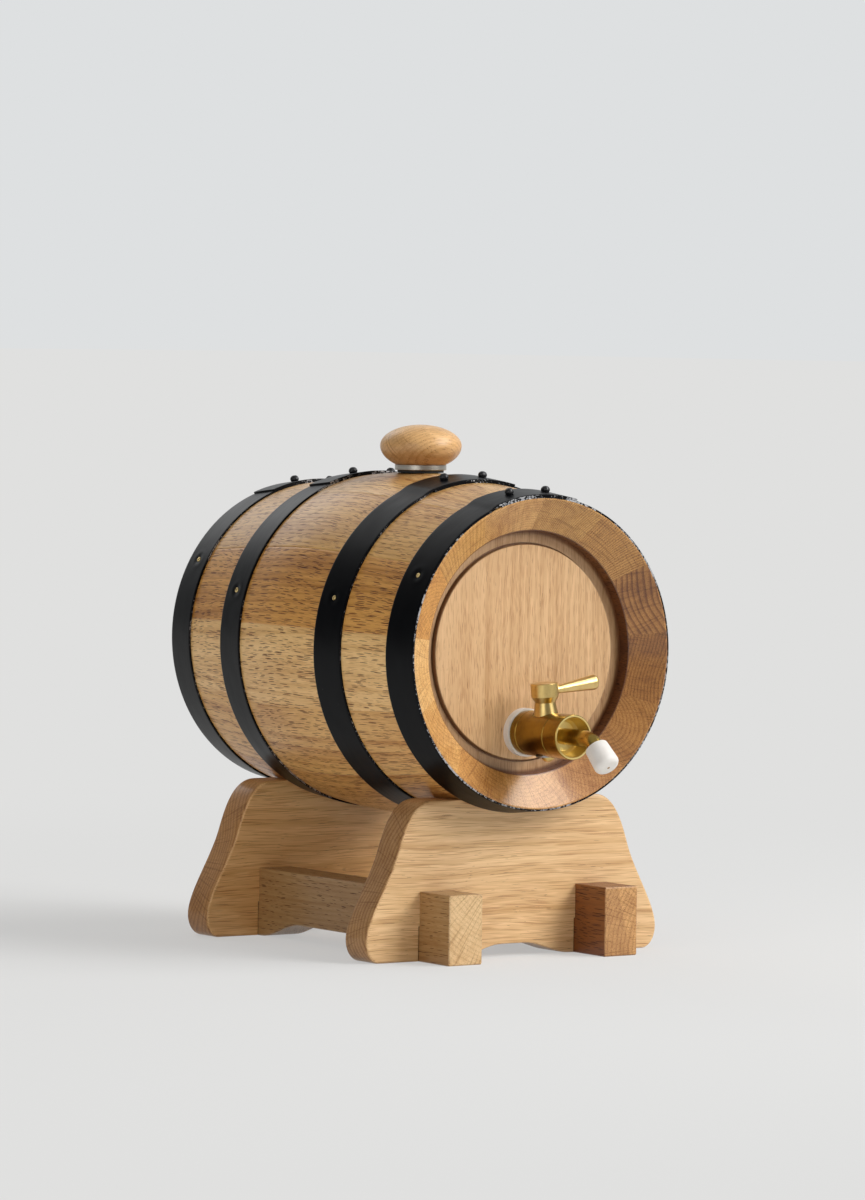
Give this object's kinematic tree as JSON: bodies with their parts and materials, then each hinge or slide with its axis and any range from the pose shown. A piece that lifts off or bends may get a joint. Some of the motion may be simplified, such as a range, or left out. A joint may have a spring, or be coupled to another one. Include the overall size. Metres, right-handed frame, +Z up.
{
  "type": "oak cask liquor dispenser",
  "caption": "Small oak cask for spirits with painted steel hoops, a pull-out bung and a brass tap with a capped spout, lying on a wooden cradle.",
  "frame": {"origin": "on the floor under the middle of the bounding box: x = 0 is the cask's middle plane", "axes": "+Z up, -Y towards the tap and the front head, +X to the right as seen from the front"},
  "size_m": [0.1958, 0.307, 0.2902],
  "materials": {
    "stave_oak": "satin varnish",
    "head_oak": "satin varnish",
    "knob_oak": "satin varnish",
    "board_oak": "satin varnish",
    "rail_oak": "satin varnish",
    "hoop_paint": "semi-gloss black paint, worn at the edges",
    "rivet_paint": "gloss black paint",
    "tack_brass": "satin",
    "black_rubber": "matte",
    "collar_steel": "brushed",
    "screw_steel": "plain",
    "white_silicone": "matte",
    "body_brass": "satin",
    "handle_brass": "satin"
  },
  "bodies": {
    "cradle": {"front_board": "board_oak", "rear_board": "board_oak", "left_rail": "rail_oak", "right_rail": "rail_oak"},
    "cask": {"stave_01": "stave_oak", "stave_02": "stave_oak", "stave_03": "stave_oak", "stave_04": "stave_oak", "stave_05": "stave_oak", "stave_06": "stave_oak", "stave_07": "stave_oak", "stave_08": "stave_oak", "stave_09": "stave_oak", "stave_10": "stave_oak", "stave_11": "stave_oak", "stave_12": "stave_oak", "stave_13": "stave_oak", "front_head": "head_oak", "rear_head": "head_oak", "front_chime_hoop": "hoop_paint", "front_quarter_hoop": "hoop_paint", "rear_quarter_hoop": "hoop_paint", "rear_chime_hoop": "hoop_paint", "hoop_rivets": "rivet_paint", "hoop_tacks": "tack_brass", "tap_washer": "white_silicone", "tap_body": "body_brass", "spout_tube": "body_brass"},
    "tap_handle": {"valve_plug": "handle_brass", "valve_seals": "black_rubber", "valve_washer": "screw_steel", "valve_screw": "handle_brass", "handle_hub": "handle_brass", "handle_lever": "handle_brass"},
    "bung": {"bung_plug": "black_rubber", "bung_collar": "collar_steel", "bung_knob": "knob_oak", "bung_screw": "screw_steel"},
    "outlet_cap": {"spout_cap": "white_silicone"}
  },
  "joints": [
    {"name": "cask_lift", "type": "slide", "parent": "cradle", "child": "cask", "axis": [0, 0, 1], "range_m": [0, 0.12]},
    {"name": "bung_pull", "type": "slide", "parent": "cask", "child": "bung", "axis": [0, 0, 1], "range_m": [0, 0.05]},
    {"name": "tap_turn", "type": "hinge", "parent": "cask", "child": "tap_handle", "pos_m": [0, -0.09418, 0.12384], "axis": [-0.0785, 0, 0.9969], "range_deg": [-90, 0]},
    {"name": "cap_pull", "type": "slide", "parent": "cask", "child": "outlet_cap", "axis": [0.0555, -0.7071, -0.7049], "range_m": [0, 0.03]}
  ]
}
